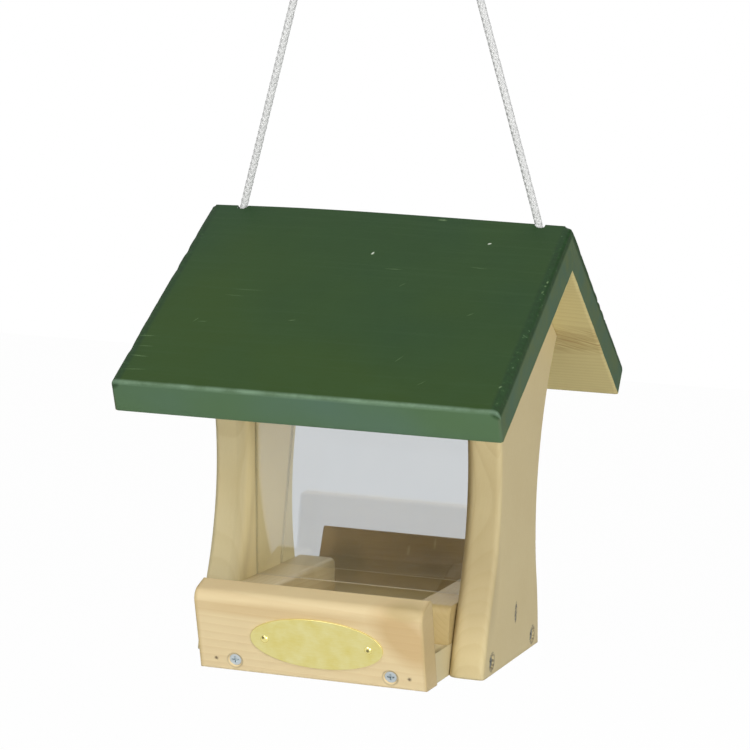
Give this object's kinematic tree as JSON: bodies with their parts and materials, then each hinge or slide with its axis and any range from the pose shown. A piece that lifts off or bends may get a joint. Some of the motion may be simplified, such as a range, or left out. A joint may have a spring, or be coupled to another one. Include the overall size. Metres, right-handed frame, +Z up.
{
  "type": "bird feeding house",
  "caption": "Hanging wooden bird feeder with a green saddle roof that slides up its cord, slanted clear hopper windows, hourglass side panels and a seed tray behind leaning rails.",
  "frame": {"origin": "middle of the underside, where the floor board and the side panels stand", "axes": "+X along the ridge to the right, -Y to the front with the oval plate, +Z up"},
  "size_m": [0.2244, 0.2856, 0.493],
  "materials": {
    "planed_pine": "planed, untreated",
    "clear_acrylic": "clear, polished",
    "brass": "satin",
    "zinc_steel": "zinc plated",
    "green_paint": "satin garden paint on pine",
    "braided_cord": "braided"
  },
  "bodies": {
    "house": {"side_panel_left": "planed_pine", "side_panel_right": "planed_pine", "floor_board": "planed_pine", "seed_strip_left": "planed_pine", "seed_strip_right": "planed_pine", "front_rail": "planed_pine", "back_rail": "planed_pine", "window_front": "clear_acrylic", "window_back": "clear_acrylic", "name_plate": "brass", "plate_pins": "brass", "front_rail_screws": "zinc_steel", "back_rail_screws": "zinc_steel", "front_rail_brads": "zinc_steel", "back_rail_brads": "zinc_steel", "left_panel_screws": "zinc_steel", "right_panel_screws": "zinc_steel", "strip_staple_left": "zinc_steel", "strip_staple_right": "zinc_steel", "hanging_cord": "braided_cord", "cord_tail_left": "braided_cord", "cord_tail_right": "braided_cord", "cord_knot_left": "braided_cord", "cord_knot_right": "braided_cord"},
    "roof": {"roof_board_front": "green_paint", "roof_board_back": "green_paint", "ridge_nails": "zinc_steel"}
  },
  "joints": [
    {"name": "roof_lift", "type": "slide", "parent": "house", "child": "roof", "axis": [0, 0, 1], "range_m": [0, 0.12], "deforming": ["hanging_cord", "cord_tail_left", "cord_tail_right"]}
  ]
}
